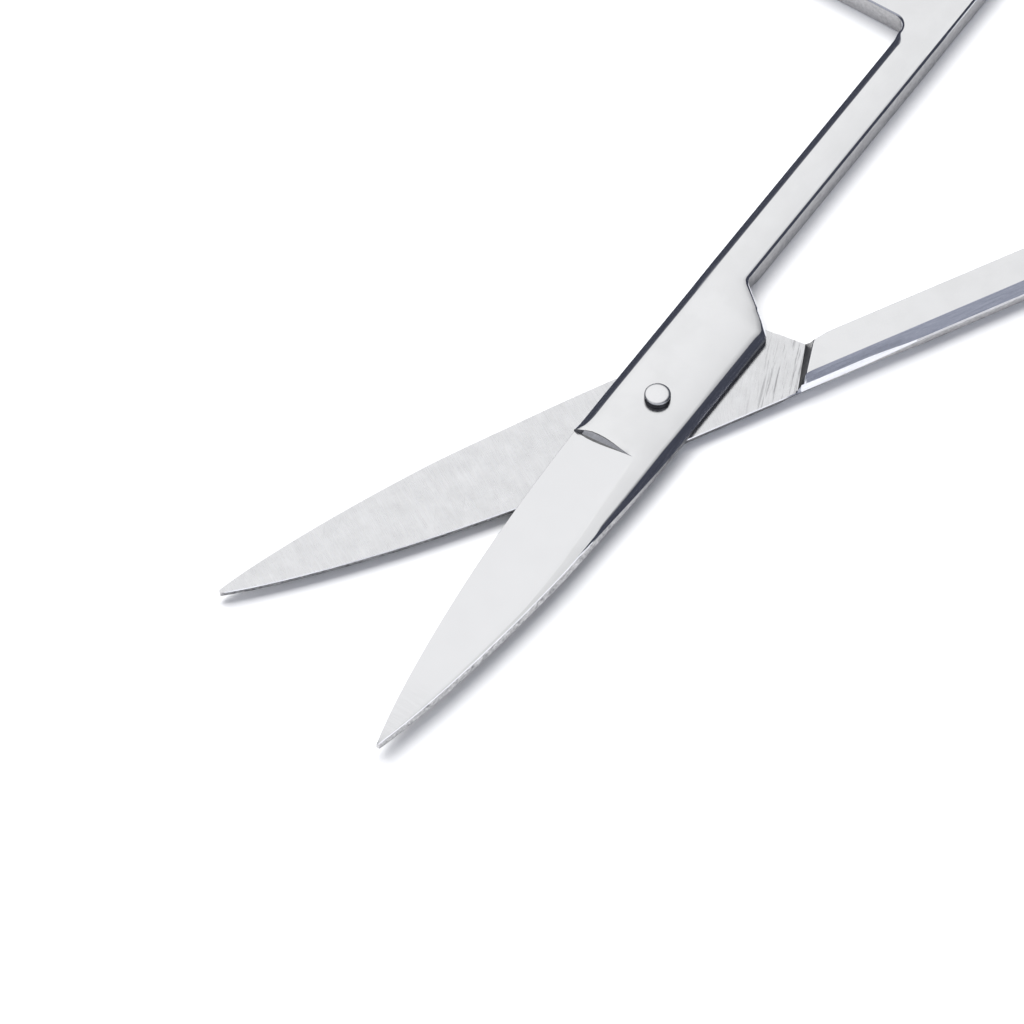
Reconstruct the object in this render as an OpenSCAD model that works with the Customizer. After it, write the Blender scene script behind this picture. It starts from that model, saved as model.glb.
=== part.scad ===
// Cuticle scissors in stainless steel, lying flat and a little open.
// Both halves are the same forging, the lower one turned over about its long axis.
// Origin: on the pivot axis, in the plane the scissors lie on. +X runs from the
// pivot towards the finger bows, along the middle of the opening. +Z is up.
// One half is drawn with its mating face on z = 0 and its outer face up, its
// shank along +X, and its cutting edge on the +Y side.

/* [Opening] */
// Angle between the two shanks as the scissors lie, in degrees
open_angle = 28.5; // [10:0.2:60]

/* [Blade] */
// Pivot axis to blade tip
blade_len = 30; // [24:0.1:36]
// How full the blade stays towards its tip, 1 is a plain parabola
blade_fullness = 0.85; // [0.7:0.01:1.1]
// Bulge of the cutting edge's side, 2 is the same curve as the spine's
edge_bulge = 2.2; // [2:0.05:2.6]
// Share of the blade length at which the point is cut off blunt
tip_at = 0.994; // [0.98:0.001:0.998]
// Thickness of the blade's spine at the tip
tip_t = 0.5; // [0.3:0.01:0.6]
// Pivot axis to the foot of the step where the flat grind starts
grind_start = 4.6; // [3.5:0.1:6.5]
// Lean of the grind's step away from upright, in degrees
grind_lean = 30; // [10:1:45]
// Turn of the grind's step away from square to the blade, in degrees
grind_skew = 7; // [0:1:12]
// Width of the crowned strip left beside the grind where it starts
strip_w = 1.25; // [0.8:0.05:2]
// Length over which that strip runs out into the spine
strip_run = 14.7; // [8:0.1:20]
// Thickness of the blade behind its cutting edge
edge_t = 0.46; // [0.3:0.01:0.7]
// The same near the tip, as a share of the spine's thickness
edge_share = 0.86; // [0.5:0.01:0.95]
// Angle of the cutting edge away from upright, in degrees
edge_angle = 8; // [4:1:30]
// Width of the bevel along the blade's spine
spine_bevel = 0.18; // [0.1:0.01:0.35]
// Depth of that bevel, as a share of the spine's thickness
spine_drop = 0.8; // [0.3:0.01:0.9]
// Length over which the body's large bevel narrows to that of the spine
bevel_run = 7; // [3:0.1:12]

/* [Body] */
// Width of the body across the pivot
body_w = 6.1; // [5.4:0.1:7.5]
// Thickness of one half at the pivot
half_t = 0.86; // [0.7:0.01:1.2]
// Pivot axis to the rear corner of the body, along the shank
rear_corner_x = 7.75; // [6.5:0.05:9]
// Pivot axis to the notch where body and shank meet
notch_x = 10.45; // [9.6:0.05:12]
// Radius of the rear corner and of the notch
corner_r = 0.55; // [0.2:0.05:1]
// Gap between the body's rear edge and the other half's step when closed
stop_gap = 0.27; // [0.15:0.01:1]
// Lean of that step away from upright, in degrees
step_lean = 22; // [0:1:35]

/* [Shank] */
// Width of the shank
shank_w = 2.7; // [2.2:0.05:2.9]
// Width of the large bevel along the outer edge, seen from above
bevel_w = 0.58; // [0.3:0.01:0.8]
// Depth of that bevel
bevel_d = 0.3; // [0.15:0.01:0.4]
// Width and depth of the bevel along the body's rear edge
rear_bevel = 0.24; // [0.1:0.01:0.35]

/* [Finger bow] */
// Pivot axis to the bow's front shoulder
shoulder_x = 32.5; // [28:0.1:38]
// Outer length of the bow
bow_len = 27.7; // [25:0.1:32]
// Outer width of the bow
bow_w = 23; // [20:0.1:25]
// Width of the bow's wire
wire_w = 2.9; // [2.2:0.1:3.6]
// Radius of the bow's ends, along the middle of the wire
bow_end_r = 8.2; // [7:0.1:9]
// Width of the bevels along the wire
wire_bevel_w = 0.3; // [0.1:0.01:0.7]
// Depth of the bevels along the wire
wire_bevel_d = 0.25; // [0.1:0.01:0.45]
// How far the shoulder leans back where it meets the shank
shoulder_lean = 0.22; // [0:0.01:0.6]
// Radius in the corner of shank and shoulder
root_r = 0.6; // [0.3:0.05:1.2]

/* [Pivot rivet] */
// Diameter of the rivet's shaft
rivet_d = 1.3; // [1:0.05:1.5]
// Diameter of the rivet's head
head_d = 1.64; // [1.6:0.02:2.4]
// Height of the head above the upper half
head_h = 0.46; // [0.3:0.02:0.7]
// Radius of the head's rounded rim
head_rim = 0.05; // [0.02:0.01:0.1]
// Diameter of the peened end, flush in its countersink
peen_d = 2.1; // [1.9:0.05:2.6]
// Depth of the countersink
peen_h = 0.4; // [0.3:0.02:0.5]

/* [Fits] */
// Gap between the two mating faces, and under the rivet's head
ride_gap = 0.02; // [0.01:0.005:0.05]
// Radial clearance of the rivet in the upper half
run_clear = 0.03; // [0.01:0.005:0.06]
// Radial grip of the rivet in the lower half
press_grip = 0.005; // [0.002:0.001:0.01]

/* [Hidden] */
$fn = 64;
blade_steps = 22;
arc_steps = 8;
bow_steps = 64;
cut_over = 1;
least_w = 0.02;
steel = [0.86, 0.87, 0.88];
rivet_steel = [0.8, 0.81, 0.83];

half_w = body_w / 2;
shank_in = half_w - shank_w;
shank_t = 2 * half_t + ride_gap;
shank_under = half_t + ride_gap;
mate_z = half_t;
upper_z = half_t + ride_gap;
top_z = shank_t;

// The body's rear edge, and the step behind it that the other half's rear edge
// comes to when the scissors close
rear_edge = [rear_corner_x, -half_w] - [notch_x, shank_in];
step_slope = rear_edge[0] / rear_edge[1];
step_foot = notch_x - 2 * shank_in * step_slope + stop_gap * norm(rear_edge) / abs(rear_edge[1]);
step_out = step_foot - (half_w - shank_in) * step_slope;

// The bow: an oval of four arcs along the middle of the wire
bow_x = shoulder_x + bow_len / 2;
bow_y = shank_in + bow_w / 2;
bow_a = (bow_len - wire_w) / 2;
bow_b = (bow_w - wire_w) / 2;
bow_side_r = (pow(bow_a - bow_end_r, 2) + pow(bow_b, 2) - pow(bow_end_r, 2))
    / (2 * (bow_b - bow_end_r));
bow_turn = atan2(bow_side_r - bow_b, bow_a - bow_end_r);

// Half-width of the blade and body at a distance s in front of the pivot, on the spine's side
// and, with its own bulge, on the cutting edge's side
function blade_half_w(s, bulge = 2) =
    half_w * pow(1 - pow(max(s, 0) / blade_len, bulge), blade_fullness);

// Share of the ground length passed at s
function grind_share(s) = max(0, (s - grind_start) / (blade_len - grind_start));

// Thickness of the blade along its spine at s
function spine_t(s) = half_t - (half_t - tip_t) * grind_share(s);

// Share of the crowned strip beside the grind that is left at s
function strip_share(s) = min(1, max(0, 1 - (s - grind_start) / strip_run));

// Share of the body's large bevel that is left along the spine at s
function bevel_share(s) = min(1, max(0, 1 - (s - grind_start) / bevel_run));

// Section of the blade at s: [y, z] from the cutting edge over the top to the spine's foot
function blade_section(s) =
    let (w = blade_half_w(s), cut_w = blade_half_w(s, edge_bulge), t = spine_t(s))
    let (k = strip_share(s), narrow = min(1, w / (3 * spine_bevel)), large = bevel_share(s))
    let (e = min(edge_t, t * edge_share), edge_in = min(e * tan(edge_angle), cut_w * 0.5))
    let (bevel = (spine_bevel + (bevel_w - spine_bevel) * large) * narrow)
    let (drop = t * spine_drop * (1 - large) + bevel_d * large)
    let (ridge = -w + bevel + (strip_w * k + least_w) * narrow)
    [[cut_w, 0], [cut_w - edge_in, e], [ridge, t], [-w + bevel, t - least_w / 2],
     [-w, t - drop], [-w, 0]];

// Points of a rounded corner at b between a and c
function corner(a, b, c, r) =
    let (u = (a - b) / norm(a - b), v = (c - b) / norm(c - b))
    let (half = acos(u * v) / 2, run = r / tan(half))
    let (m = b + (u + v) / norm(u + v) * r / sin(half))
    let (from = b + u * run - m, to = b + v * run - m)
    [for (i = [0:arc_steps])
        let (mix = from * (1 - i / arc_steps) + to * i / arc_steps)
        m + r * mix / norm(mix)];

// Point on the oval of the bow's wire, at the angle a of its arc's own centre
function bow_point(a) =
    let (q = abs(a) > 90 ? 180 - abs(a) : abs(a), side = a < 0 ? -1 : 1, end = abs(a) > 90 ? -1 : 1)
    q < bow_turn
        ? [bow_x + end * (bow_a - bow_end_r + bow_end_r * cos(q)), bow_y + side * bow_end_r * sin(q)]
        : [bow_x + end * bow_side_r * cos(q), bow_y + side * (bow_side_r * sin(q) - bow_side_r + bow_b)];

// Cutter for a bevel of width w and depth d, along +X below the edge at y = z = 0
module bevel_cutter(length, w, d) {
    rotate([90, 0, 90])
        linear_extrude(length)
            polygon([[-2 * w, d], [w, -2 * d], [w, d]]);
}

// Outline of the body, from the grind's step to well inside the full shank
module body_outline() {
    front_w = blade_half_w(grind_start);
    cut_w = blade_half_w(grind_start, edge_bulge);
    skew = half_w * tan(grind_skew);
    tail_x = step_foot + 2 * corner_r;
    polygon(concat(
        [[0, half_w], [-grind_start - skew, cut_w], [-grind_start + skew, -front_w], [0, -half_w]],
        corner([0, -half_w], [rear_corner_x, -half_w], [notch_x, shank_in], corner_r),
        corner([rear_corner_x, -half_w], [notch_x, shank_in], [tail_x, shank_in], corner_r),
        [[tail_x, shank_in], [tail_x, half_w]]
    ));
}

// Outline of the full-thickness shank and the web that carries the bow
module shank_outline() {
    root = [shoulder_x + shoulder_lean, half_w];
    front = [shoulder_x, bow_y - root_r];
    polygon(concat(
        [[step_foot, shank_in], [step_out, half_w]],
        corner([step_out, half_w], root, front, root_r),
        [front],
        [for (i = [0:2 * arc_steps]) bow_point(-180 + 90 * i / (2 * arc_steps))],
        [[bow_x, shank_in]]
    ));
}

// Faces that join rings of n points each, from one ring to the next
function ring_faces(rings, n, closed) =
    let (total = rings * n)
    [for (i = [0:rings - (closed ? 1 : 2)]) for (j = [0:n - 1])
        let (a = i * n + j, b = i * n + (j + 1) % n)
        each [[a, b, (b + n) % total], [a, (b + n) % total, (a + n) % total]]];

// The finger bow's wire, swept round the oval
module bow_wire() {
    side = wire_w / 2;
    section = [
        [wire_bevel_w - side, -shank_under], [side - wire_bevel_w, -shank_under],
        [side, wire_bevel_d - shank_under], [side, half_t - wire_bevel_d],
        [side - wire_bevel_w, half_t], [wire_bevel_w - side, half_t],
        [-side, half_t - wire_bevel_d], [-side, wire_bevel_d - shank_under]
    ];
    points = [for (i = [0:bow_steps - 1])
        let (a = 360 * i / bow_steps - 180, p = bow_point(a))
        for (q = section) [p[0] + q[0] * cos(a), p[1] + q[0] * sin(a), q[1]]];
    polyhedron(points, ring_faces(bow_steps, len(section), true));
}

// The blade in front of the grind's step, lofted through its sections
module blade() {
    s0 = grind_start - 2 * half_w * tan(grind_skew);
    s1 = blade_len * tip_at;
    rings = [for (i = [0:blade_steps])
        let (s = s0 + (s1 - s0) * sin(90 * i / blade_steps))
        [for (p = blade_section(s)) [-s, p[0], p[1]]]];
    n = len(rings[0]);
    points = [for (ring = rings) for (p = ring) p];
    caps = [[for (j = [n - 1:-1:0]) j], [for (j = [0:n - 1]) blade_steps * n + j]];
    polyhedron(points, concat(ring_faces(blade_steps + 1, n, false), caps));
}

// The forging without its pivot hole
module forging() {
    union() {
        blade();
        difference() {
            union() {
                linear_extrude(half_t) body_outline();
                translate([0, 0, -shank_under]) linear_extrude(shank_t) shank_outline();
            }
            outer_edge_bevels();
            spine_bevels();
            grind_step();
            stop_step();
        }
        bow_wire();
    }
}

// Large bevels along the outer edge, above and below
module outer_edge_bevels() {
    length = shoulder_x - root_r + grind_start + cut_over;
    translate([-grind_start - cut_over, half_w, half_t])
        bevel_cutter(length, bevel_w, bevel_d);
    translate([-grind_start - cut_over, half_w, -shank_under])
        mirror([0, 0, 1]) bevel_cutter(length, bevel_w, bevel_d);
}

// Bevels along the body's spine side and its rear edge
module spine_bevels() {
    translate([rear_corner_x + cut_over, -half_w, half_t])
        rotate([0, 0, 180])
            bevel_cutter(rear_corner_x + grind_start + 2 * cut_over, bevel_w, bevel_d);
    translate([notch_x, shank_in, half_t])
        rotate([0, 0, atan2(rear_edge[1], rear_edge[0])])
            translate([corner_r, 0, 0])
                bevel_cutter(norm(rear_edge) + cut_over - corner_r, rear_bevel, rear_bevel);
}

// The leaning wall where the flat grind starts
module grind_step() {
    drop = half_t - edge_t;
    translate([-grind_start, 0, half_t])
        rotate([0, 0, 90 + grind_skew])
            translate([-half_w - cut_over, 0, 0])
                bevel_cutter(body_w + 2 * cut_over, drop * tan(grind_lean), drop);
}

// The leaning wall where the shank rises past the mating face
module stop_step() {
    across = [step_out, half_w] - [step_foot, shank_in];
    cut_h = shank_under + cut_over;
    translate([step_foot, shank_in, 0])
        rotate([0, 0, atan2(across[1], across[0])])
            translate([-cut_over, 0, 0])
                rotate([90, 0, 90])
                    linear_extrude(norm(across) + 2 * cut_over)
                        polygon([
                            [0, 0], [-cut_h * tan(step_lean), -cut_h],
                            [cut_over, -cut_h], [cut_over, 0]
                        ]);
}

// One half with a straight bore through its body
module half(bore_r) {
    difference() {
        forging();
        translate([0, 0, -cut_over]) cylinder(r = bore_r, h = half_t + 2 * cut_over);
    }
}

// Upper half: the rivet turns in its bore
module upper_half() {
    color(steel)
        translate([0, 0, upper_z])
            rotate([0, 0, open_angle / 2])
                half(rivet_d / 2 + run_clear);
}

// Lower half: turned over, with the countersink that holds the peened end
module lower_half() {
    color(steel)
        difference() {
            translate([0, 0, mate_z])
                rotate([0, 0, -open_angle / 2])
                    rotate([180, 0, 0])
                        half(rivet_d / 2);
            cylinder(d1 = peen_d, d2 = rivet_d, h = peen_h);
        }
}

// Pivot rivet: round head on top, straight shaft, peened end flush below
module pivot_rivet() {
    r = rivet_d / 2;
    grip_r = r + press_grip;
    head_r = head_d / 2;
    head_z = top_z + ride_gap;
    color(rivet_steel)
        rotate_extrude()
            polygon([
                [0, 0], [peen_d / 2, 0], [grip_r, peen_h], [grip_r, mate_z], [r, mate_z],
                [r, head_z], [head_r, head_z], [head_r, head_z + head_h - head_rim],
                [head_r - head_rim, head_z + head_h], [0, head_z + head_h]
            ]);
}

lower_half();
upper_half();
pivot_rivet();
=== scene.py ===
"""Cuticle scissors in stainless steel, lying a little open on a white table."""

import math

import bmesh
import bpy
from mathutils import Matrix, Vector


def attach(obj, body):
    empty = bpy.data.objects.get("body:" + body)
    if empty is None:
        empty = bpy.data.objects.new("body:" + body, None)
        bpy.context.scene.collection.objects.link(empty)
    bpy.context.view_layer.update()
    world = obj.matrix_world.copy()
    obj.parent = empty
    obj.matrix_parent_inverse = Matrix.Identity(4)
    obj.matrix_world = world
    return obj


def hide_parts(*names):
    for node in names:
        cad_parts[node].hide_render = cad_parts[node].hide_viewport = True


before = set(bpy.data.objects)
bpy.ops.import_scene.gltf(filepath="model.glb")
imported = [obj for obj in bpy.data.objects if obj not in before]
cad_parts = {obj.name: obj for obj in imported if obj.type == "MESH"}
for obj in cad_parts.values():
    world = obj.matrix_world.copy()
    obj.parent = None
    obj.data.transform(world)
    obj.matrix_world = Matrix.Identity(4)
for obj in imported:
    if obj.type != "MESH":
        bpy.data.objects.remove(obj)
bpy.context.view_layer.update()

MM = 0.001

# Both halves are the same forging, in millimetres and degrees. It is drawn with its mating face
# on z = 0, its outer face up, its shank along +X and its cutting edge on the +Y side. Its far
# face is the one that looks down: the mating face, and past the step the shank's underside.
OPEN_ANGLE = 28.5
HALF_W = 3.05  # half the body's width
HALF_T = 0.86  # the body's thickness
RIDE_GAP = 0.02  # play between the two mating faces

# Blade
BLADE_LEN = 30.0
BLADE_FULLNESS = 0.85  # power of the taper, less for a fuller blade
SPINE_BULGE = 2.0  # power along the spine, more for one that stays wide for longer
EDGE_BULGE = 2.2  # the same along the cutting edge
TIP_AT = 0.99  # share of the length where the tip is cut blunt
TIP_T = 0.5  # thickness at the tip
EDGE_T = 0.46  # thickness behind the cutting edge
EDGE_SHARE = 0.86  # most of the spine's thickness that the cutting edge may have
EDGE_ANGLE = 8.0  # lean of the wall behind the cutting edge
GRIND_RISE = 0.1  # steepest slope of the flat grind across the blade
SPINE_LEAN = 12.0  # lean of the wall along the spine
SPINE_SHARE = 0.78  # share of the thickness that its wall and bright edge take
SPINE_SET_IN = 0.12  # the spine's side of the body is narrower by this

# Start of the grind
GRIND_START = 4.48  # distance from the pivot
GRIND_SKEW = 2.9  # off square to the blade
GRIND_WALL_RUN = 0.31  # how far its wall leans
CRESCENT_EDGE = (0.12, 1.3)  # the crescent opens over this, in from the cutting edge
CRESCENT_RIDGE = (-0.1, 2.6)  # and over this, out from the ridge
STRIP_W = 1.25  # the crown that is left along the spine where the grind starts
STRIP_RUN = 14.7  # it narrows over this length
STRIP_LEAST = 0.04  # share of the blade's width that always stays

# Body, step and shank
BODY_CROWN = 0.13  # how far the outer face falls from its middle to its sides
SHANK_CROWN = 0.07
REAR_CORNER_X = 7.75
NOTCH_X = 10.45
CORNER_R = 0.55
CORNER_CUT = 0.2  # taken off the shank's inner side at the step's foot
STOP_GAP = 0.27  # from the step's foot to the other half's rear edge, closed
STEP_LEAN = 22.0  # lean of the step's wall
SHANK_W = 2.7

# Bevels: a width in from the side, and a depth. BEVEL is the large one along the outer side,
# UNDERCUT the lower half's along its shank, and FAR the one on the far face.
BEVEL_W = 0.62
BEVEL_D = 0.46
BEVEL_ROUND = 1.5  # length of the quarter round in which it starts
GRIND_BEVEL = 0.35  # share of it at the grind
ROOT_BEVEL = 0.35  # share of it at the bow's root
UNDERCUT_W = 0.62
UNDERCUT_D = 0.62
UNDERCUT_LATE_D = 0.36
SPINE_BEVEL_W = 0.5
SPINE_BEVEL_D = 0.42
FAR_BEVEL_W = 0.57
FAR_BEVEL_D = 0.98
FAR_LATE_D = 0.8
FAR_BEVEL_ROUND = 0.5
FAR_STEP_W = 0.82  # share of its inner facet's width at the step
FAR_STEP_BEVEL = 0.42  # share of its size before the step
FAR_ROOT_BEVEL = 0.1  # share of its size at the bow's root
EASE_W = 0.15  # rounding of the shank's inner edge
EASE_D = 0.11
FAR_EASE = 0.05
BRIGHT_W = 0.03  # thin bright edge of the mating face and the spine
BRIGHT_D = 0.07

# Finger bow
SHOULDER_X = 32.5
SHOULDER_LEAN = 0.22
SHOULDER_EASE = 0.1  # rounding of its edges where it starts
SHOULDER_END_W = 0.26  # and its width where the oval starts
ROOT_R = 0.85
BOW_LEN = 27.7
BOW_W = 23.0
WIRE_W = 2.9
BOW_END_R = 8.2
BOW_SLACK = 0.02  # how far the scene's bow stays inside the solid's box
BOW_EASE_W = 0.3  # rounding of the wire's outer edges
BOW_EASE_D = 0.28
HOLE_EASE_W = 0.55  # rounding of its inner edges
HOLE_EASE_D = 0.42

# Rivet
RIVET_R = 0.65
RUN_CLEAR = 0.03  # round its shaft in the upper half
PRESS = 0.005  # its grip in the lower half
BORE_RIM = 0.06  # flat ring round the bore in the mating face
HEAD_R = 0.82
HEAD_H = 0.46
PEEN_R = 1.05
PEEN_H = 0.4
RIVET_EASE = 0.02
CLEAR_OUT = 0.25  # the mesh is cut back this far round a hole
CLEAR_LEAST = 0.9  # and at least to this radius

# Worked out from those
MATE_Z = HALF_T  # height of the lower half's mating face over the table
UNDER = HALF_T + RIDE_GAP  # depth of the shank's far face below its own mating face
SHANK_IN = HALF_W - SHANK_W
HEAD_Z = 2 * UNDER
HEAD_TOP = HEAD_Z + HEAD_H
BOW_X = SHOULDER_X + BOW_LEN / 2
BOW_Y = SHANK_IN + BOW_W / 2
BOW_A = (BOW_LEN - WIRE_W) / 2
BOW_B = (BOW_W - WIRE_W) / 2
SIDE_R = ((BOW_A - BOW_END_R) ** 2 + BOW_B**2 - BOW_END_R**2) / (2 * (BOW_B - BOW_END_R))
BOW_TURN = math.atan2(SIDE_R - BOW_B, BOW_A - BOW_END_R)
REAR_SLOPE = (HALF_W + SHANK_IN) / (NOTCH_X - REAR_CORNER_X)
STEP_FOOT = NOTCH_X - 2 * SHANK_IN / REAR_SLOPE + STOP_GAP * math.hypot(1, 1 / REAR_SLOPE)
STEP_OUT = STEP_FOOT - SHANK_W / REAR_SLOPE  # the step's foot on the outer side
STEP_RUN = UNDER * math.tan(math.radians(STEP_LEAN)) * math.hypot(1, 1 / REAR_SLOPE)
GATE_X = SHOULDER_X + SHOULDER_LEAN - ROOT_R  # end of the shank and start of the bow's root
SKEW_RUN = HALF_W * math.tan(math.radians(GRIND_SKEW))

# Stretches over which one form turns into the next, as x along the shank or -x along the blade
SPINE_SET_FADES = (9, 14)
SPINE_BEVEL_FADES = (3, 12.5)
STRIP_FADES = (GRIND_START, GRIND_START + STRIP_RUN)
CROWN_LESSENS = (REAR_CORNER_X, STEP_FOOT + 2)
CROWN_FLATTENS = (28, GATE_X - 0.3)
REAR_BEVEL_FADES = (REAR_CORNER_X - 0.5, REAR_CORNER_X + 0.8)
UNDERCUT_DEEPENS = (STEP_OUT - 1.5, STEP_OUT)
FAR_BEVEL_GROWS = (STEP_OUT - 1, STEP_OUT)
LATE_FACETS_COME = (12.5, 17.5)
CORNER_CUT_FADES = (STEP_FOOT, STEP_FOOT + 1.6)
BEVELS_END = (GATE_X - 0.9, GATE_X - 0.1)
RIDGE_TO_MIDDLE = (0, 4)


def mix(a, b, t):
    """Value t of the way from a to b."""
    return a + (b - a) * t


def share(a, b, x):
    """0 before a, 1 after b, and straight between them."""
    return min(1.0, max(0.0, (x - a) / (b - a)))


def ease(a, b, x):
    """0 before a, 1 after b, and smooth between them."""
    t = share(a, b, x)
    return t * t * (3 - 2 * t)


def quarter_round(t):
    """Height of a quarter circle, from 0 to 1, at the share t of its run."""
    return math.sqrt(1 - (1 - t) ** 2)


# Outline of the forging


def blade_half_w(x, bulge=SPINE_BULGE):
    """Half-width of the blade and body at x, on the spine's side or with the edge's bulge."""
    s = share(0, BLADE_LEN, -x)
    return HALF_W * (1 - s**bulge) ** BLADE_FULLNESS


def outer_y(x):
    """The forging's +Y side: cutting edge, body and shank."""
    return blade_half_w(x, EDGE_BULGE)


def rounded_turn(x, x0, before, after, r):
    """Height of a line that changes slope at x0, its corner rounded to the radius r."""
    run = r * math.tan(abs(math.atan(after) - math.atan(before)) / 2)
    reach0, reach1 = run * math.cos(math.atan(before)), run * math.cos(math.atan(after))
    if x <= x0 - reach0:
        return before * (x - x0)
    if x >= x0 + reach1:
        return after * (x - x0)
    t = (x - x0 + reach0) / (reach0 + reach1)
    return (1 - t) ** 2 * (-before * reach0) + t * t * after * reach1


def inner_y(x):
    """The -Y side: spine, body, rear corner, rear edge, notch and the shank's inner side."""
    set_in = SPINE_SET_IN * (1 - share(*SPINE_SET_FADES, -x))
    if x < REAR_CORNER_X - CORNER_R:
        return set_in - blade_half_w(x)
    if x < (REAR_CORNER_X + NOTCH_X) / 2:
        turn = rounded_turn(x, REAR_CORNER_X, 0, REAR_SLOPE, CORNER_R)
        return mix(set_in, 0, share(-HALF_W, SHANK_IN, turn - HALF_W)) - HALF_W + turn
    return SHANK_IN + rounded_turn(x, NOTCH_X, REAR_SLOPE, 0, CORNER_R)


# Heights of its faces


def spine_t(x):
    """Thickness of the forging along the middle of its crown."""
    return HALF_T - (HALF_T - TIP_T) * share(-GRIND_START, -BLADE_LEN, x)


def crown_z(x, y):
    """Height of the crowned outer face."""
    rise = mix(BODY_CROWN, SHANK_CROWN, ease(*CROWN_LESSENS, x))
    rise *= 1 - ease(*CROWN_FLATTENS, x)
    low, high = inner_y(x), outer_y(x)
    middle, half = (low + high) / 2, max(0.3, (high - low) / 2)
    return spine_t(x) - rise * min(1, half / HALF_W) * ((y - middle) / half) ** 2


def ridge_y(x):
    """Where the flat grind meets the crown."""
    w = -inner_y(x)
    strip = STRIP_W * (1 - share(*STRIP_FADES, -x))
    strip = max(strip, STRIP_LEAST * (outer_y(x) + w))
    return -w + min(inner_bevel(x)[-1][0] + strip + 0.02, w * 0.8)


def edge_t(x):
    """Thickness of the blade behind its cutting edge."""
    t = spine_t(x)
    return max(min(EDGE_T, t * EDGE_SHARE), t - GRIND_RISE * (outer_y(x) - inner_y(x)))


def edge_in(x):
    """How far the cutting edge's wall leans in over its height."""
    return min(edge_t(x) * math.tan(math.radians(EDGE_ANGLE)), outer_y(x) * 0.4)


def grind_z(x, y):
    """Height of the flat grind, which runs from the cutting edge up to the ridge."""
    ridge = ridge_y(x)
    start = outer_y(x) - edge_in(x)
    t = (start - y) / max(0.05, start - ridge)
    return mix(edge_t(x), crown_z(x, ridge), min(1.0, t))


# Shapes of bevels. Each is a list of (share of the width in from the wall, share of the depth
# still left), all with as many points.
TWO_FACETS = ((0, 1), (0.02, 0.94), (0.2, 0.4), (0.26, 0.34), (0.93, 0.02), (1, 0))
FAR_FACETS = ((0, 1), (0.03, 0.955), (0.24, 0.59), (0.3, 0.52), (0.94, 0.045), (1, 0))
LATE_FACETS = ((0, 1), (0.02, 0.955), (0.05, 0.88), (0.09, 0.82), (0.94, 0.045), (1, 0))
DEEP_FACET = ((0, 1), (0.02, 0.97), (0.4, 0.5), (0.75, 0.16), (0.95, 0.03), (1, 0))
ROUNDED = ((0, 1), (0.08, 0.87), (0.3, 0.54), (0.58, 0.25), (0.88, 0.03), (1, 0))
ONE_FACET = ((0, 1), (0.2, 0.8), (0.45, 0.55), (0.7, 0.3), (0.93, 0.05), (1, 0))
BEVEL_POINTS = len(ROUNDED)


def blended(a, b, t):
    """A bevel's shape t of the way from a to b."""
    return [(mix(p[0], q[0], t), mix(p[1], q[1], t)) for p, q in zip(a, b)]


def sized(shape, w, d):
    """A bevel of this shape, as (inset, depth)."""
    return [(w * a, d * b) for a, b in shape]


def outer_bevel(x, undercut):
    """The large bevel along the outer side. It starts at the grind as a quarter round and ends
    before the bow. undercut makes it deep along the shank."""
    start = quarter_round(share(-GRIND_START, -GRIND_START + BEVEL_ROUND, x))
    deep = ease(*UNDERCUT_DEEPENS, x) if undercut else 0
    size = mix(GRIND_BEVEL, 1, start) if x < 0 else mix(1, ROOT_BEVEL, ease(*BEVELS_END, x))
    under_d = mix(UNDERCUT_D, UNDERCUT_LATE_D, ease(*LATE_FACETS_COME, x))
    w, d = size * mix(BEVEL_W, UNDERCUT_W, deep), size * mix(BEVEL_D, under_d, deep)
    if x < 0:
        d = mix(crown_z(x, outer_y(x) - w) - edge_t(x) - 0.02, BEVEL_D, start)
    return sized(blended(TWO_FACETS, DEEP_FACET, deep), w, d)


def inner_bevel(x):
    """The inner side: a large bevel along the body, eased along the shank, and along the blade's
    spine a leaning wall with a thin bright edge."""
    if x >= 0:
        end = ease(*REAR_BEVEL_FADES, x)
        return sized(ROUNDED, mix(SPINE_BEVEL_W, EASE_W, end), mix(SPINE_BEVEL_D, EASE_D, end))
    large = 1 - share(*SPINE_BEVEL_FADES, -x)
    w, d = mix(BRIGHT_W, SPINE_BEVEL_W, large), mix(BRIGHT_D, SPINE_BEVEL_D, large)
    wall = max(0.0, spine_t(x) * SPINE_SHARE - d) * (1 - large)
    lean = min(wall * math.tan(math.radians(SPINE_LEAN)), blade_half_w(x) / 4)
    facet = [(lean + a, b) for a, b in sized(blended(ONE_FACET, ROUNDED, large), w, d)]
    return [(0, d + wall)] + facet[:1] + facet[2:]


def far_bevel(x, high):
    """The far face's outer bevel, with depths that are heights over the shank's far face. Its
    inner facet starts narrow at the step and widens in a quarter round."""
    start = share(STEP_OUT + STEP_RUN, STEP_OUT + STEP_RUN + FAR_BEVEL_ROUND, x)
    wide = mix(FAR_STEP_W, 1, quarter_round(start))
    size = mix(FAR_STEP_BEVEL, 1, share(*FAR_BEVEL_GROWS, x))
    size *= mix(1, FAR_ROOT_BEVEL, ease(*BEVELS_END, x))
    late = ease(*LATE_FACETS_COME, x)
    facets = blended(FAR_FACETS, LATE_FACETS, late)
    facets = facets[:4] + [(mix(facets[3][0], a, wide), b) for a, b in facets[4:]]
    w, d = min(FAR_BEVEL_W * size, high * 0.3), mix(FAR_BEVEL_D, FAR_LATE_D, late) * size
    return sized(facets, w, d)


# Sections. Columns on each side of the ridge, and across the far face.
GROUND_COLUMNS = 9
STRIP_COLUMNS = 7
FAR_COLUMNS = 6


def edge_side(x, high):
    """The wall behind the cutting edge and its top, as (y, z)."""
    e, run = edge_t(x), edge_in(x)
    wall = [(high - run * t, e * t) for t in (0.2, 0.5, 0.9, 0.97)]
    return wall + [(high - run - 0.012, e + 0.001), (high - run - 0.04, grind_z)]


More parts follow.
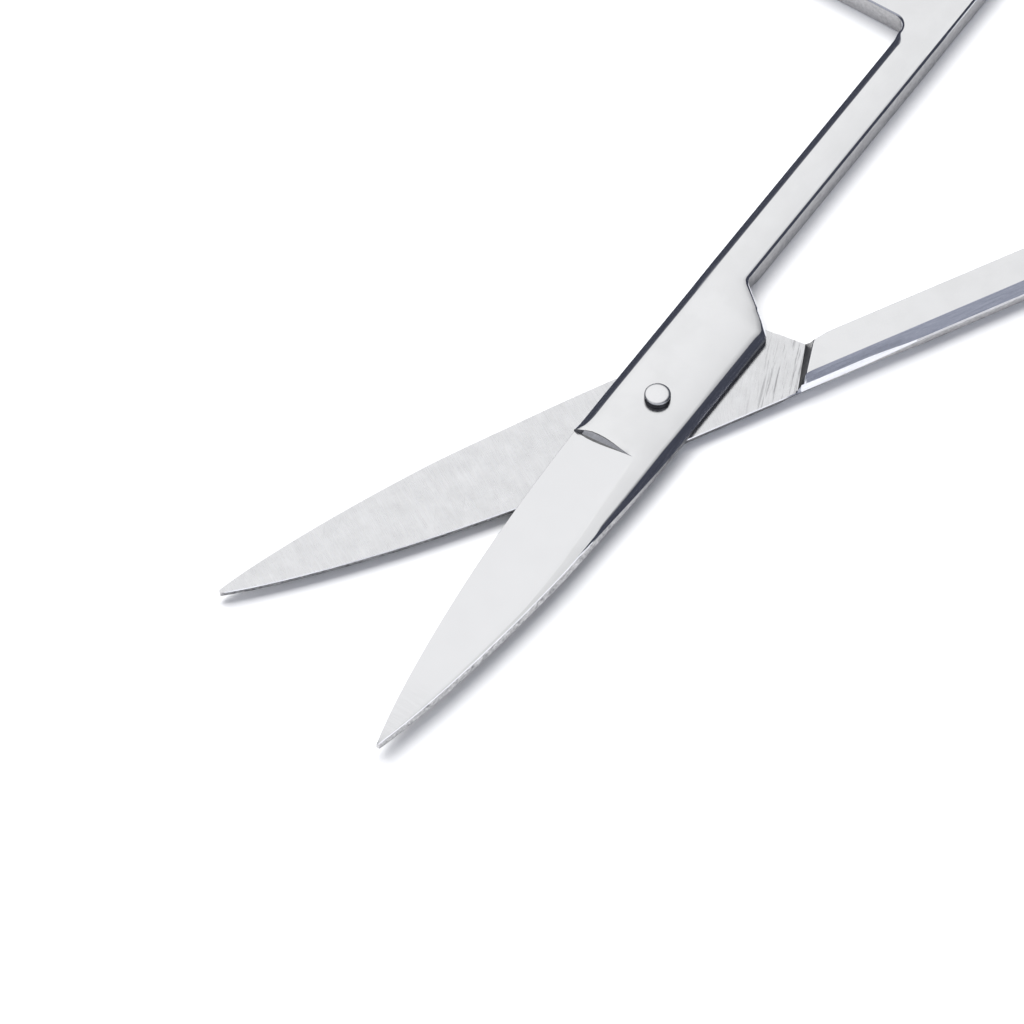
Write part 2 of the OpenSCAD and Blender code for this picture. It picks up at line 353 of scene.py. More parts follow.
def outer_side(x, high, undercut):
    """The body's or the shank's outer wall and large bevel, as (y, z)."""
    bevel = outer_bevel(x, undercut)
    top = crown_z(x, high - bevel[-1][0])
    return [(high - inset, top - depth) for inset, depth in bevel]


def inner_side(x, low):
    """The inner wall and bevel, as (y, z)."""
    bevel = inner_bevel(x)
    top = crown_z(x, low + bevel[-1][0])
    return [(low + inset, top - depth) for inset, depth in bevel]


def top_columns(x, start, end, ground):
    """The top between its two sides, as (y, z), its columns gathered at the ridge."""
    middle = mix(ridge_y(min(x, 0)), (start + end) / 2, ease(*RIDGE_TO_MIDDLE, x))
    middle = min(start - 0.05 * (start - end), max(end + 0.03 * (start - end), middle))
    z = grind_z if ground else crown_z
    columns = [(mix(start, middle, i / GROUND_COLUMNS), z) for i in range(1, GROUND_COLUMNS + 1)]
    columns += [(mix(middle, end, i / STRIP_COLUMNS), crown_z) for i in range(1, STRIP_COLUMNS)]
    return columns


def far_outer_edge(x, high, drop):
    """The far face's outer edge, as (y, z) out to the wall. On the mating face it is only a thin
    bright edge."""
    bevel, dropped = far_bevel(x, high), drop / UNDER
    edge_w, edge_d = mix(min(BRIGHT_W, high * 0.1), 0, dropped), mix(BRIGHT_D, 0, dropped)
    points = [(high, max(edge_d - drop, bevel[0][1] - UNDER))]
    points += [(high - edge_w - inset, max(-drop, up - UNDER)) for inset, up in bevel[1:]]
    return points[::-1]


def far_inner_edge(x, low, drop):
    """The far face's inner edge, as (y, z) in from the wall, cut back at the step's foot."""
    cut = CORNER_CUT * (drop / UNDER) * (1 - ease(*CORNER_CUT_FADES, x))
    bevel = sized(ROUNDED, min(FAR_EASE, -low * 0.3) if low < 0 else FAR_EASE, FAR_EASE)
    return [(low + cut + inset, max(-drop, up - UNDER)) for inset, up in bevel]


def cross_section(x_out, x_in, drop, ground, undercut=False):
    """A closed section of the forging as 3-D points, from the far face's outer edge round over
    the top. It runs from x_out on the outer side to x_in on the inner side. drop is how far the
    far face lies below the mating face, and ground picks the blade's flat grind."""
    high, low = outer_y(x_out), inner_y(x_in)
    outer = edge_side(x_out, high) if ground else outer_side(x_out, high, undercut)
    inner = inner_side(x_in, low)
    far_outer, far_inner = far_outer_edge(x_out, high, drop), far_inner_edge(x_in, low, drop)
    profile = far_outer + outer
    profile += top_columns((x_out + x_in) / 2, outer[-1][0], inner[-1][0], ground)
    profile += inner[::-1] + far_inner
    first, last = far_inner[-1][0], far_outer[0][0]
    profile += [(mix(first, last, i / FAR_COLUMNS), -drop) for i in range(1, FAR_COLUMNS)]
    points = []
    for y, z in profile:
        x = mix(x_out, x_in, (high - y) / (high - low))
        points.append(Vector((x, y, z(x, y) if callable(z) else z)))
    return points


def grind_wall(height, advance):
    """The section part of the way up the leaning wall where the grind starts. Seen from above the
    wall is a crescent, pointed at the cutting edge and at the ridge."""
    x_out, x_in = -GRIND_START - SKEW_RUN, -GRIND_START + SKEW_RUN
    low = cross_section(x_out, x_in, 0, True)
    high = cross_section(x_out, x_in, 0, False)
    points = []
    for a, b in zip(low, high):
        crescent = math.sin(math.pi / 2 * share(*CRESCENT_EDGE, outer_y(x_out) - a.y))
        crescent *= ease(*CRESCENT_RIDGE, a.y - ridge_y(a.x))
        run = GRIND_WALL_RUN * crescent * advance if b.z - a.z > 0.003 else 0
        points.append(Vector((a.x + run, mix(a.y, b.y, height), mix(a.z, b.z, height))))
    return points


# Up the grind's wall and up the step at the shank: share of the height, share of the run
GRIND_WALL = (
    (0, -0.55), (0, 0), (0.3, 0.28), (0.6, 0.56), (0.85, 0.8), (0.95, 0.92), (1, 1.12),
)
STEP_WALL = ((0, 0), (0.5, 0.5), (0.9, 0.89), (0.965, 0.97), (0.992, 1.08), (1, 1.3))

# Where the sections stand
BLADE_RINGS = 46
SKEW_FADE = 5.0  # they turn square to the blade over this length
FIRST_GAP = 0.5  # from the grind's start to the body's first section
FINE_GAP = 0.2
COARSE_GAP = 0.34
COARSE_FROM = -2.8  # x where the wider gaps start
FAN_FROM = 3.0
FAN_RINGS = 60
FAN_POWER = 1.35  # gathers them towards the step
SQUARE_FROM = 15.0  # x from which they stand square to the shank
SQUARING_RINGS = 12
SQUARING_POWER = 1.2
SHANK_FIRST = 15.7
SHANK_LAST = GATE_X - 1.5
SHANK_GAP = 0.75
ROOT_GAP = 0.1
ROOT_RINGS = 13


def blade_sections():
    """The blade's sections, from its tip to the top of the grind's wall."""
    for i in range(BLADE_RINGS):
        x = mix(-GRIND_START, -BLADE_LEN * TIP_AT, math.sin(math.pi / 2 * (1 - i / BLADE_RINGS)))
        skew = SKEW_RUN * ease(-GRIND_START - SKEW_FADE, -GRIND_START, x)
        yield cross_section(x - skew, x + skew, 0, True)
    for height, advance in GRIND_WALL:
        yield grind_wall(height, advance)


def body_sections(undercut):
    """The body's, which fan out at the end, so that the last one lies along the step's foot."""
    x = -GRIND_START + FIRST_GAP
    while x < FAN_FROM:
        skew = SKEW_RUN * (1 - ease(-GRIND_START, 0, x))
        yield cross_section(x - skew, x + skew, 0, False)
        x += FINE_GAP if x < COARSE_FROM else COARSE_GAP
    for i in range(FAN_RINGS):
        x_in = mix(FAN_FROM, STEP_FOOT, 1 - (1 - i / FAN_RINGS) ** FAN_POWER)
        x_out = mix(FAN_FROM, STEP_OUT, (x_in - FAN_FROM) / (STEP_FOOT - FAN_FROM))
        yield cross_section(x_out, x_in, 0, False, undercut)


def shank_sections(undercut):
    """The step's and the shank's, which turn square to the shank and end at the bow's root."""
    for height, run in STEP_WALL:
        start_out, start_in = STEP_OUT + STEP_RUN * run, STEP_FOOT + STEP_RUN * run
        yield cross_section(start_out, start_in, UNDER * height, False, undercut)
    for i in range(1, SQUARING_RINGS + 1):
        t = (i / SQUARING_RINGS) ** SQUARING_POWER
        x_out, x_in = mix(start_out, SQUARE_FROM, t), mix(start_in, SQUARE_FROM, t)
        yield cross_section(x_out, x_in, UNDER, False, undercut)
    x = SHANK_FIRST
    while x < SHANK_LAST:
        yield cross_section(x, x, UNDER, False, undercut)
        x += SHANK_GAP
    for i in range(ROOT_RINGS, -1, -1):
        x = GATE_X - ROOT_GAP * i
        yield cross_section(x, x, UNDER, False, undercut)


# Mesh tools


def start_line(bm, points, closed):
    """A first closed ring or open line of vertices and edges."""
    verts = [bm.verts.new(p) for p in points]
    for a, b in zip(verts, verts[1:] + verts[:1] if closed else verts[1:]):
        bm.edges.new((a, b))
    return verts


def extrude_line(bm, line, points, closed):
    """Extrudes a ring or line of vertices and puts the new one at the points."""
    order = bm.verts.layers.int["order"]
    pairs = zip(line, line[1:] + line[:1] if closed else line[1:])
    edges = [bm.edges.get(pair) for pair in pairs]
    for i, vert in enumerate(line):
        vert[order] = i
    made = bmesh.ops.extrude_edge_only(bm, edges=edges)["geom"]
    new = sorted((v for v in made if isinstance(v, bmesh.types.BMVert)), key=lambda v: v[order])
    for vert, point in zip(new, points):
        vert.co = point
    return new


def piece_from(bm, name, materials, sharp_angle):
    """Closes a bmesh into an object at the origin, smooth but for its level faces and its sharp
    edges."""
    for face in bm.faces:
        face.smooth = abs(face.normal.z) < 0.99999
    for edge in bm.edges:
        if edge.is_manifold and edge.calc_face_angle(0) > math.radians(sharp_angle):
            edge.smooth = False
    mesh = bpy.data.meshes.new(name)
    bm.to_mesh(mesh)
    bm.free()
    piece = bpy.data.objects.new(name, mesh)
    bpy.context.scene.collection.objects.link(piece)
    for material in materials:
        mesh.materials.append(material)
    return piece


# The bow. Steps round its root, along its shoulder, round its oval, back along the shank, and
# round its hole.
ROOT_STEPS = 10
SHOULDER_STEPS = 8
OVAL_STEPS = 84
WEB_STEPS = 8
HOLE_STEPS = 112
EASE_GROWS = (5 / 8, 1)  # share of the shoulder over which its edges' rounding grows
EASE_LESSENS = (0.86, 1)  # share of the oval over which it lessens again


def bow_profile(point, into, width, depth):
    """The edge of the bow's wire stood up at one point of its outline."""
    bevel = sized(ROUNDED, width, depth)
    low = [(inset, -UNDER + up) for inset, up in reversed(bevel)]
    high = [(inset, HALF_T - down) for inset, down in bevel]
    return [Vector((point.x + into.x * a, point.y + into.y * a, z)) for a, z in low + high]


def bow_point(angle, offset):
    """A point of the bow's oval, offset outwards from the middle of its wire, and the way out."""
    a = math.atan2(math.sin(angle), math.cos(angle))
    side, end = (-1 if a < 0 else 1), (-1 if abs(a) > math.pi / 2 else 1)
    q = math.pi - abs(a) if end < 0 else abs(a)
    if q < BOW_TURN:
        centre, r = Vector((end * (BOW_A - BOW_END_R), 0)), BOW_END_R
    else:
        centre, r = Vector((0, -side * (SIDE_R - BOW_B))), SIDE_R
    out = Vector((math.cos(a), math.sin(a)))
    return Vector((BOW_X, BOW_Y)) + centre + out * (r + offset), out


def bow_outline():
    """The bow's outer edge from the shank's outer side round to its inner side, as points with
    the way into the metal and the bevel's width and depth."""
    corner = Vector((GATE_X, HALF_W + ROOT_R))
    for i in range(1, ROOT_STEPS + 1):
        t, angle = i / ROOT_STEPS, math.radians(90 * i / ROOT_STEPS - 90)
        out = Vector((math.cos(angle), math.sin(angle)))
        w = mix(BEVEL_W * ROOT_BEVEL, SHOULDER_EASE, t)
        yield corner + out * ROOT_R, out, w, mix(BEVEL_D * ROOT_BEVEL, SHOULDER_EASE, t)
    for i in range(1, SHOULDER_STEPS + 1):
        t = i / SHOULDER_STEPS
        x = mix(SHOULDER_X + SHOULDER_LEAN, SHOULDER_X + BOW_SLACK, t)
        grown = share(*EASE_GROWS, t)
        w, d = mix(SHOULDER_EASE, SHOULDER_END_W, grown), mix(SHOULDER_EASE, BOW_EASE_D, grown)
        yield Vector((x, mix(corner.y, BOW_Y, t))), Vector((1, 0)), w, d
    for i in range(1, OVAL_STEPS + 1):
        t = i / OVAL_STEPS
        point, out = bow_point(math.pi - 1.5 * math.pi * t, WIRE_W / 2 - BOW_SLACK)
        less = ease(*EASE_LESSENS, t)
        yield point, -out, mix(BOW_EASE_W, EASE_W, less), mix(BOW_EASE_D, EASE_W, less)
    for i in range(1, WEB_STEPS + 1):
        x = mix(BOW_X, GATE_X, i / (WEB_STEPS + 1))
        yield Vector((x, SHANK_IN)), Vector((0, 1)), EASE_W, EASE_W


def add_bow(bm, ring):
    """Adds the web and the finger bow to the shank's last section."""
    side = 2 * BEVEL_POINTS
    top = GROUND_COLUMNS + STRIP_COLUMNS - 1
    line, inner = ring[:side], ring[side + top : 2 * side + top][::-1]
    for point, into, width, depth in bow_outline():
        line = extrude_line(bm, line, bow_profile(point, into, width, depth), False)
    extrude_line(bm, line, [v.co.copy() for v in inner], False)
    for i in range(HOLE_STEPS + 1):
        point, out = bow_point(2 * math.pi * i / HOLE_STEPS, -WIRE_W / 2)
        points = bow_profile(point, out, HOLE_EASE_W, HOLE_EASE_D)
        line = extrude_line(bm, line, points, False) if i else start_line(bm, points, False)
    bmesh.ops.remove_doubles(bm, verts=bm.verts, dist=1e-5)
    for height in (HALF_T, -UNDER):
        rim = [
            e for e in bm.edges
            if e.is_boundary and all(abs(v.co.z - height) < 0.002 for v in e.verts)
        ]
        bmesh.ops.triangle_fill(bm, edges=rim, use_beauty=True)


def open_bore(bm, above, rings):
    """Opens a hole on the pivot axis on one face. rings are (radius, height), from the face in,
    and a height of None follows the crown. Returns the last ring's edges."""
    reach = max(rings[0][0] + CLEAR_OUT, CLEAR_LEAST)
    near = [v for v in bm.verts if v.co.xy.length < reach and (v.co.z > HALF_T / 2) == above]
    bmesh.ops.delete(bm, geom=near, context="VERTS")
    edges = [
        e for e in bm.edges
        if e.is_boundary and all((v.co.z > HALF_T / 2) == above for v in e.verts)
    ]
    for radius, z in rings:
        made = bmesh.ops.extrude_edge_only(bm, edges=edges)["geom"]
        for vert in (v for v in made if isinstance(v, bmesh.types.BMVert)):
            flat = vert.co.xy.normalized() * radius
            vert.co = (flat.x, flat.y, crown_z(flat.x, flat.y) if z is None else z)
        edges = [e for e in made if isinstance(e, bmesh.types.BMEdge) and e.is_boundary]
    return edges


# The forging. Its finishes by number.
SATIN, POLISHED, SIDE, BRUSHED, GROUND, STEP, GRIND_START_WALL = range(7)
LEVEL = 0.97  # z of the normal past which a face is satin and not a polished bevel
STEEP = 0.3  # and below which it is a side
FAR_SIDE_Z = 0.1  # faces below this belong to the far face and the walls
WALL_BEHIND, WALL_AHEAD = 0.12, 0.6  # the grind's wall lies this far round its foot


def grind_start_finish(n, c):
    """The finish of a face at the leaning wall where the grind starts, or None elsewhere."""
    foot = mix(-GRIND_START - SKEW_RUN, -GRIND_START + SKEW_RUN, (HALF_W - c.y) / (2 * HALF_W))
    if not -WALL_BEHIND < c.x - foot < WALL_AHEAD or abs(n.y) >= 0.5 or n.z <= STEEP:
        return None
    if n.x < -0.34:
        return GRIND_START_WALL
    inside = ridge_y(c.x) + 0.2 < c.y < HALF_W - 0.4
    return STEP if inside and (n.x < -0.1 or c.x < foot) else None


def finish_of(face):
    """Which finish a face of the forging has."""
    n, c = face.normal, face.calc_center_median()
    on_mating_face = n.z < -0.99 and -0.02 < c.z < FAR_SIDE_Z
    on_step = c.z < 0.02 and STEP_OUT - 0.2 < c.x < STEP_FOOT + 1 and n.x < -0.5
    on_grind = c.x < -GRIND_START + SKEW_RUN and n.z > 0.9 and c.y > ridge_y(c.x) - 0.02
    if on_mating_face:
        return BRUSHED
    if on_step:
        return STEP
    at_grind_start = grind_start_finish(n, c) if c.z >= FAR_SIDE_Z else None
    if at_grind_start is not None:
        return at_grind_start
    if on_grind:
        return GROUND
    if abs(n.z) > LEVEL:
        return SATIN
    return POLISHED if abs(n.z) > STEEP else SIDE


def forging(name, bore, place, materials, undercut=False):
    """One half in one mesh: blade, body, shank and bow, with its bore, put in its place."""
    bm = bmesh.new()
    bm.verts.layers.int.new("order")
    spot = bm.verts.layers.float_vector.new("spot")
    first, *others = *blade_sections(), *body_sections(undercut), *shank_sections(undercut)
    ring = start_line(bm, first, True)
    bm.faces.new(ring)
    for points in others:
        ring = extrude_line(bm, ring, points, True)
    add_bow(bm, ring)
    top_edges = open_bore(bm, True, bore)
    low_edges = open_bore(bm, False, [(RIVET_R + BORE_RIM, 0), (bore[-1][0], 0)])
    bmesh.ops.bridge_loops(bm, edges=top_edges + low_edges)
    bmesh.ops.remove_doubles(bm, verts=bm.verts, dist=2e-4)
    bmesh.ops.dissolve_degenerate(bm, edges=bm.edges, dist=1e-4)
    bmesh.ops.recalc_face_normals(bm, faces=bm.faces)
    bm.normal_update()
    for face in bm.faces:
        face.material_index = finish_of(face)
    for vert in bm.verts:
        vert[spot] = vert.co
    bm.transform(place)
    piece = piece_from(bm, name, materials, sharp_angle=24)
    even = piece.modifiers.new("even_normals", "WEIGHTED_NORMAL")
    even.keep_sharp = True
    even.weight = 80
    return piece


# The rivet. Its head's rounding: in from the rim, and down from the top.
HEAD_ROUND = ((0, 0.11), (0.01, 0.07), (0.035, 0.04), (0.08, 0.022), (0.2, 0.011), (0.492, 0.003))


def turned_rivet(name, material):
    """The rivet: domed head, shaft and peened end, turned in one piece."""
    profile = [
        (0, 0), (PEEN_R - RIVET_EASE, 0), (PEEN_R, RIVET_EASE / 2), (RIVET_R + PRESS, PEEN_H),
        (RIVET_R, MATE_Z), (RIVET_R, HEAD_Z), (HEAD_R - RIVET_EASE, HEAD_Z),
        (HEAD_R, HEAD_Z + RIVET_EASE),
    ]
    profile += [(HEAD_R - inset, HEAD_TOP - down) for inset, down in HEAD_ROUND]
    profile.append((0, HEAD_TOP))
    bm = bmesh.new()
    verts = start_line(bm, [(r, 0, z) for r, z in profile], False)
    bmesh.ops.spin(
        bm, geom=verts + bm.edges[:], cent=(0, 0, 0), axis=(0, 0, 1), angle=2 * math.pi,
        steps=72, use_merge=True,
    )
    bmesh.ops.remove_doubles(bm, verts=bm.verts, dist=1e-5)
    bmesh.ops.recalc_face_normals(bm, faces=bm.faces)
    bm.transform(Matrix.Scale(MM, 4))
    return piece_from(bm, name, [material], sharp_angle=40)


# Materials. Distances in them are millimetres in the forging's own frame, kept in "spot".


class Socket:
    """One output in a tree of nodes. Arithmetic on it adds Math nodes, and node() any other."""

    def __init__(self, tree, output=None):
        self.tree = tree
        self.output = output

    def node(self, kind, settings=None, sockets=None, output=0):
        """A node of this type with its settings, and its sockets' values or links."""
        made = self.tree.nodes.new(kind)
        for name, value in (settings or {}).items():
            setattr(made, name, value)
        for name, value in (sockets or {}).items():
            if isinstance(name, int):
                socket = made.inputs[name]
            else:
                socket = next(s for s in made.inputs if name in (s.identifier, s.name))
            if isinstance(value, Socket):
                self.tree.links.new(value.output, socket)
            else:
                socket.default_value = value
        return Socket(self.tree, made.outputs[output])

    def math(self, operation, *values):
        """A Math node over these numbers or sockets."""
        return self.node("ShaderNodeMath", {"operation": operation}, dict(enumerate(values)))

    def __add__(self, other):
        return self.math("ADD", self, other)

    def __radd__(self, other):
        return self.math("ADD", other, self)

    def __sub__(self, other):
        return self.math("SUBTRACT", self, other)

    def __rsub__(self, other):
        return self.math("SUBTRACT", other, self)

    def __mul__(self, other):
        return self.math("MULTIPLY", self, other)

    def __rmul__(self, other):
        return self.math("MULTIPLY", other, self)

    def vector(self, operation, *values, output="Vector"):
        """A Vector Math node over these vectors or sockets."""
        settings = {"operation": operation}
        return self.node("ShaderNodeVectorMath", settings, dict(enumerate(values)), output)

    def stretched(self, x, y, z):
        """This vector with each of its axes scaled."""
        return self.vector("MULTIPLY", self, (x, y, z))

    def axes(self):
        """The three numbers of this vector."""
        apart = self.node("ShaderNodeSeparateXYZ", {}, {0: self})
        outputs = apart.output.node.outputs
        return [Socket(self.tree, outputs[i]) for i in range(3)]

    def noise(self, scale, detail=2.0, rough=0.5):
        """Soft noise from 0 to 1 over this vector."""
        settings = {"noise_dimensions": "3D"}
        sockets = {"Vector": self, "Scale": scale, "Detail": detail, "Roughness": rough}
        return self.node("ShaderNodeTexNoise", settings, sockets)

    def step(self, low, high):
        """0 below low, 1 above high, and smooth between them. low may be the larger."""
        settings = {"interpolation_type": "SMOOTHSTEP", "clamp": True}
        sockets = {"Value": self, "From Min": low, "From Max": high}
        return self.node("ShaderNodeMapRange", settings, sockets)

    def tint(self, dark, light):
        """The colour this share of the way from dark to light."""
        a, b = [c if isinstance(c, Socket) else (*c, 1) for c in (dark, light)]
        sockets = {"Factor_Float": self, "A_Color": a, "B_Color": b}
        return self.node("ShaderNodeMix", {"data_type": "RGBA"}, sockets, output=2)


def start_material(name):
    """A new material and its shader's node."""
    material = bpy.data.materials.new(name)
    material.use_nodes = True
    return material, material.node_tree.nodes["Principled BSDF"]


def metal(name, recipe):
    """A metal. Its recipe gives its colour, roughness and relief, and the relief's depth in
    metres."""
    material, shader = start_material(name)
    shader.inputs["Metallic"].default_value = 1
    color, roughness, relief, depth = recipe(Socket(material.node_tree))
    sockets = {"Strength": 1.0, "Distance": depth, "Height": relief}
    bump = relief.node("ShaderNodeBump", {}, sockets)
    for socket, value in (("Base Color", color), ("Roughness", roughness), ("Normal", bump)):
        material.node_tree.links.new(value.output, shader.inputs[socket])
    return material


def spot_of(nodes):
    """The place on the forging, in millimetres."""
    return nodes.node("ShaderNodeAttribute", {"attribute_name": "spot"}, output="Vector")


def satin_steel(nodes):
    """The outer faces: evenly satin, with faint clouds, a fine grain and a few hairlines."""
    spot = spot_of(nodes)
    clouds = spot.noise(0.45, 3.0)
    grain = spot.noise(7.0, 3.0, 0.6)
    hairs = spot.stretched(0.35, 11, 1).noise(1.0, 3.0, 0.6).step(0.62, 0.76)
    light = clouds.step(0.3, 0.7) * 0.45 + grain * 0.55 - hairs * 0.12
    color = light.tint((0.745, 0.745, 0.74), (0.855, 0.855, 0.85))
    return color, 0.15 + clouds * 0.05 + grain * 0.06, grain, 2e-7


def ground_steel(nodes):
    """The blade's flat grind: smoother, its fine lines across the blade and stronger at the tip."""
    spot = spot_of(nodes)
    x, _, _ = spot.axes()
    lines = spot.stretched(9, 0.7, 1).noise(1.0, 3.0, 0.6)
    clouds = spot.noise(0.6, 2.0)
    tip = x.step(-23, -28.5)
    light = clouds * 0.3 + 0.3 - tip * 0.35 + (lines - 0.5) * (0.35 + tip * 1.1)
    color = light.tint((0.75, 0.75, 0.75), (0.86, 0.86, 0.857))
    return color, 0.17 + lines * 0.07, lines, 3e-7


def brushed_steel(nodes):
    """The mating face: brushed across the blade, crossed by stray lines, and by deep dark lines
    along the step at the shank."""
    spot = spot_of(nodes)
    x, y, _ = spot.axes()
    line = x + y * (1 / REAR_SLOPE) * x.step(0, 5)
    to_step = line - (STEP_FOOT + SHANK_IN / REAR_SLOPE)
    wide = spot.node("ShaderNodeCombineXYZ", {}, {"X": line * 4.6, "Y": y * 0.2})
    narrow = spot.node("ShaderNodeCombineXYZ", {}, {"X": line * 9, "Y": y * 0.5})
    tilted = spot.node("ShaderNodeCombineXYZ", {}, {"X": x * 5 + y * 3.2, "Y": y * 0.3})
    deep = wide.noise(1.0, 4.0, 0.8).step(0.53, 0.62) * to_step.step(-4.5, -1.6)
    across = narrow.noise(1.0, 4.0, 0.7)
    stray = tilted.noise(1.0, 3.0, 0.7).step(0.62, 0.7)
    clouds = spot.noise(0.9, 3.0, 0.6)
    light = 0.2 + clouds * 0.35 + across * 0.65 - stray * 0.12 - deep * 0.5
    color = light.tint((0.42, 0.42, 0.42), (1.0, 1.0, 0.995))
    return color, 0.23 + across * 0.1 + deep * 0.08, across - deep, 1.2e-6


def polished_steel(nodes):
    """The bevels: bright polish with wheel streaks along them."""
    spot = spot_of(nodes)
    streaks = spot.stretched(0.55, 10, 10).noise(1.0, 4.0, 0.65)
    specks = spot.noise(6.0, 3.0, 0.7)
    light = streaks * 0.75 + specks * 0.35
    return light.tint((0.42, 0.43, 0.47), (0.95, 0.96, 1.0)), 0.09 + streaks * 0.1, streaks, 8e-7


def side_steel(nodes):
    """The narrow sides: rough from the forging die and mottled, with painted shade along the body
    and cutting edge.
    """
    spot = spot_of(nodes)
    x, y, _ = spot.axes()
    mottle = spot.stretched(2.2, 4, 4).noise(1.0, 4.0, 0.75)
    specks = spot.noise(5.0, 3.0, 0.7)
    # painted shade: the walls go darkest along the body, between the two halves, and a little
    # darker along the blade's cutting edge, over the shadowed floor
    body = x.step(-7, -3) * x.step(11, 8.5)
    cutting = y.step(0, 0.4) * x.step(-3, -5)
    blade = x.step(-7, -11)
    rough = (mottle - 0.5) * 1.1 + (specks - 0.5) * 0.9
    # the mottled level, lowered there by that painted shade
    level = 0.42 - body * 0.34 - cutting * 0.1 + rough * (0.45 + blade * 0.7)
    color = level.tint((0.1, 0.1, 0.11), (0.95, 0.94, 0.94))
    return color, 0.28 + mottle * 0.2, mottle + specks, 8e-6


def step_steel(nodes):
    """The step's wall: dark, with cutter marks down it."""
    spot = spot_of(nodes)
    _, _, z = spot.axes()
    marks = spot.stretched(1, 7, 0.8).noise(1.0, 3.0, 0.6)
    light = marks * 0.7 + z.step(-0.1, -0.75) * 0.3
    return light.tint((0.1, 0.1, 0.1), (0.5, 0.5, 0.49)), 0.3 + marks * 0.15, marks, 3e-6


def grind_wall_steel(nodes):
    """The leaning wall where the grind starts: grey and speckled by the wheel."""
    spot = spot_of(nodes)
    specks = spot.noise(7.0, 3.0, 0.75)
    marks = spot.stretched(2, 7, 2).noise(1.0, 3.0, 0.6)
    color = (specks * 0.7 + marks * 0.3).tint((0.32, 0.32, 0.32), (1.0, 0.99, 0.98))
    return color, 0.3 + specks * 0.15, specks, 3e-6


def rivet_steel(nodes):
    """The rivet: faced on top with fine rings, with painted shade that makes its side near black.
    It has no spot, so its place is the object's own, in millimetres from the table and the pivot's
    axis."""
    place = nodes.node("ShaderNodeTexCoord", output="Object").stretched(1 / MM, 1 / MM, 1 / MM)
    _, _, z = place.axes()
    out = nodes.vector("LENGTH", place.stretched(1, 1, 0), output="Value")
    rings = nodes.node("ShaderNodeCombineXYZ", {}, {"X": out * 16}).noise(1.0, 2.0)
    grain = place.noise(7.0, 3.0, 0.6)
    worn = rings * 0.5 + grain * 0.5
    face = worn.tint((0.7, 0.7, 0.7), (0.9, 0.9, 0.895))
    # painted shade: the head's side is made near black for the dark it shows, not for a darker
    # steel
    wall = worn.tint((0.01, 0.01, 0.012), (0.09, 0.09, 0.1))
    color = z.step(HEAD_TOP - 0.1, HEAD_TOP - 0.03).tint(wall, face)
    return color, 0.12 + grain * 0.08, rings, 5e-7


# Camera
FRAME_PX = 1024
PIVOT_PX = (657.2, 405.8)  # the pivot's place in the photograph's frame
PX_PER_MM = 16.33  # the scale at the pivot
DISTANCE_PX = 7475.0  # the camera's distance from the pivot, at that scale
ELEVATION = math.radians(57.22)
AZIMUTH = math.radians(41.12)
SENSOR = 36.0  # millimetres

# Light. Directions are seen from the camera, with x to the right, y away and z up.
SWING = Matrix.Rotation(-AZIMUTH, 3, "Z")
SKY = (0.07, 0.075, 0.098)
SKY_PATCHES = (  # direction, degrees within which it is full and beyond which it is gone, colour
    ((-0.1, 0.55, 0.83), 8, 27, (1.0, 1.0, 1.0)),
    ((-0.15, -0.65, 0.745), 36, 64, (0.46, 0.47, 0.5)),
    ((0.62, -0.67, 0.4), 12, 36, (0.26, 0.275, 0.32)),
)
KEY_AT = (-0.15, 0.5, 0.76)  # metres from the pivot, as are the sizes below
KEY_SIZE = (1.3, 0.8)
KEY_WATTS = 16
TABLE_SIZE = 3.0


def add_camera():
    """The camera, at the photograph's viewing angle."""
    right = SWING @ Vector((1, 0, 0))
    ahead = SWING @ Vector((0, math.cos(ELEVATION), -math.sin(ELEVATION)))
    above = SWING @ Vector((0, math.sin(ELEVATION), math.cos(ELEVATION)))
    to_pivot = (
        ahead * DISTANCE_PX
        + right * (PIVOT_PX[0] - FRAME_PX / 2)
        + above * (FRAME_PX / 2 - PIVOT_PX[1])
    ) / PX_PER_MM
    stand = Matrix((right, above, -ahead)).transposed().to_4x4()
    stand.translation = (Vector((0, 0, MATE_Z)) - to_pivot) * MM
    camera = bpy.data.objects.new("camera", bpy.data.cameras.new("camera"))
    camera.data.sensor_width = SENSOR
    camera.data.lens = SENSOR * DISTANCE_PX / FRAME_PX
    camera.data.clip_start = 0.01
    camera.matrix_world = stand
    bpy.context.scene.collection.objects.link(camera)
    bpy.context.scene.camera = camera


def white_table():
    """The plain white table."""
    bpy.ops.mesh.primitive_plane_add(size=TABLE_SIZE)
    made = bpy.context.object
    made.name = "table"
    white, paint = start_material("table_white")
    paint.inputs["Base Color"].default_value = (0.9, 0.9, 0.9, 1)
    paint.inputs["Roughness"].default_value = 0.9
    paint.inputs["Specular IOR Level"].default_value = 0.0
    made.data.materials.append(white)
    return made


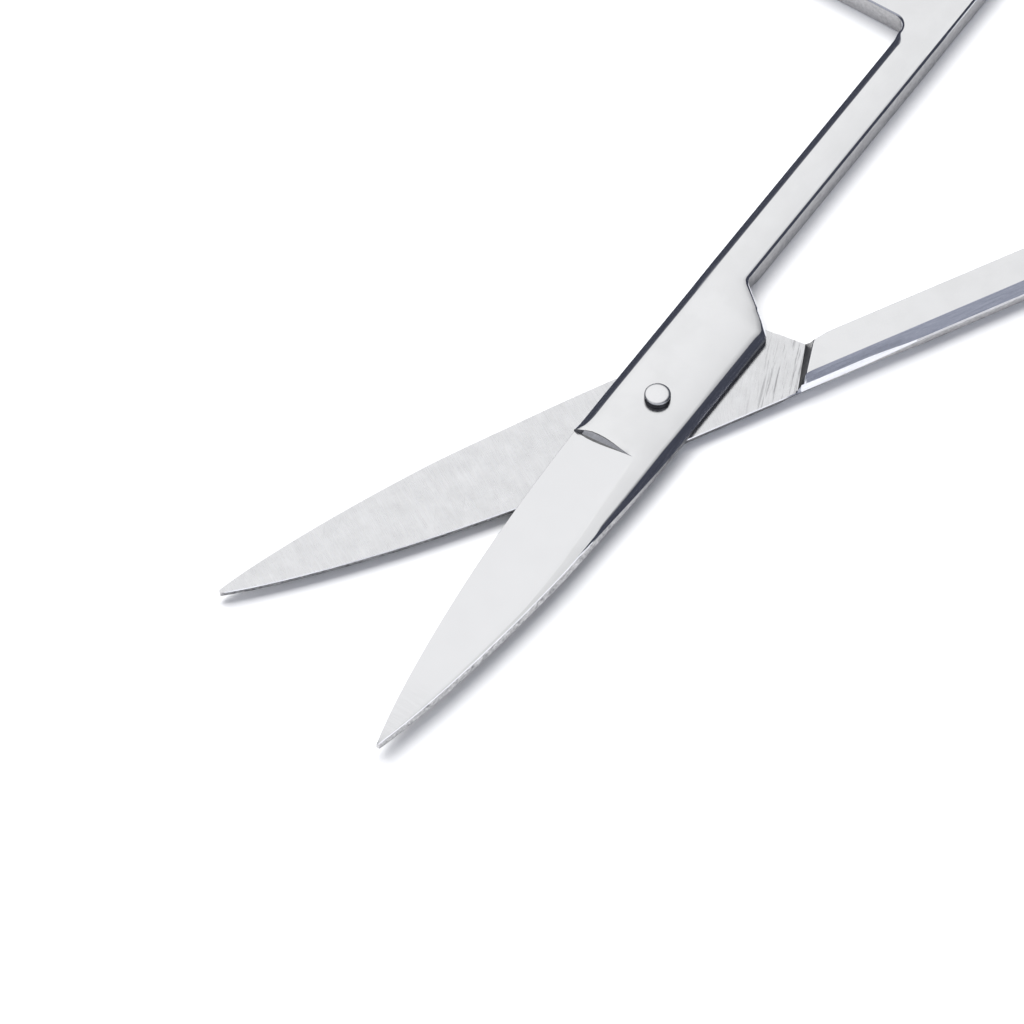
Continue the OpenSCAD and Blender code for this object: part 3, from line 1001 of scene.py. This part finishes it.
def add_sky():
    """A dim studio with soft patches of light for the steel to show. Its way is where a ray
    goes."""
    world = bpy.data.worlds.new("studio")
    bpy.context.scene.world = world
    world.use_nodes = True
    way = Socket(world.node_tree).node("ShaderNodeTexCoord", output="Generated")
    total = SKY
    for toward, inner, outer, color in SKY_PATCHES:
        middle = (SWING @ Vector(toward)).normalized()
        dot = way.vector("DOT_PRODUCT", way, middle, output="Value")
        patch = dot.step(math.cos(math.radians(outer)), math.cos(math.radians(inner)))
        total = way.vector("ADD", patch.tint((0, 0, 0), color), total)
    world.node_tree.links.new(total.output, world.node_tree.nodes["Background"].inputs["Color"])


def add_key_light():
    """One large soft light, above and a little behind."""
    key = bpy.data.objects.new("key", bpy.data.lights.new("key", "AREA"))
    key.data.shape = "RECTANGLE"
    key.data.size, key.data.size_y = KEY_SIZE
    key.data.energy = KEY_WATTS
    key.location = SWING @ Vector(KEY_AT)
    key.rotation_mode = "QUATERNION"
    key.rotation_quaternion = (-key.location).to_track_quat("-Z", "Y")
    key.visible_glossy = False
    bpy.context.scene.collection.objects.link(key)


# The scissors
turn = math.radians(OPEN_ANGLE / 2)
to_metres = Matrix.Scale(MM, 4)
upper_place = (
    to_metres @ Matrix.Translation((0, 0, MATE_Z + RIDE_GAP)) @ Matrix.Rotation(turn, 4, "Z")
)
lower_place = (
    to_metres @ Matrix.Translation((0, 0, MATE_Z)) @ Matrix.Rotation(-turn, 4, "Z")
    @ Matrix.Rotation(math.pi, 4, "X")
)
finishes = [  # in the order of their numbers
    metal("satin", satin_steel), metal("polished", polished_steel), metal("side", side_steel),
    metal("brushed", brushed_steel), metal("ground", ground_steel), metal("step", step_steel),
    metal("grind_wall", grind_wall_steel),
]
running_bore = [(RIVET_R + RUN_CLEAR, None)]
peened_bore = [(PEEN_R, HALF_T), (RIVET_R, HALF_T - PEEN_H)]
upper = forging("upper_blade", running_bore, upper_place, finishes)
lower = forging("lower_blade", peened_bore, lower_place, finishes, undercut=True)
pin = turned_rivet("rivet", metal("rivet", rivet_steel))
for piece, body, node, slot in (
    (upper, "upper", "upper_half", "half_steel"),
    (lower, "lower", "lower_half", "half_steel"),
    (pin, "lower", "pivot_rivet", "rivet_steel"),
):
    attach(piece, body)
    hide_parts(node)

# What is round them
add_camera()
table = white_table()
add_sky()
add_key_light()
bpy.context.scene.view_settings.view_transform = "Standard"
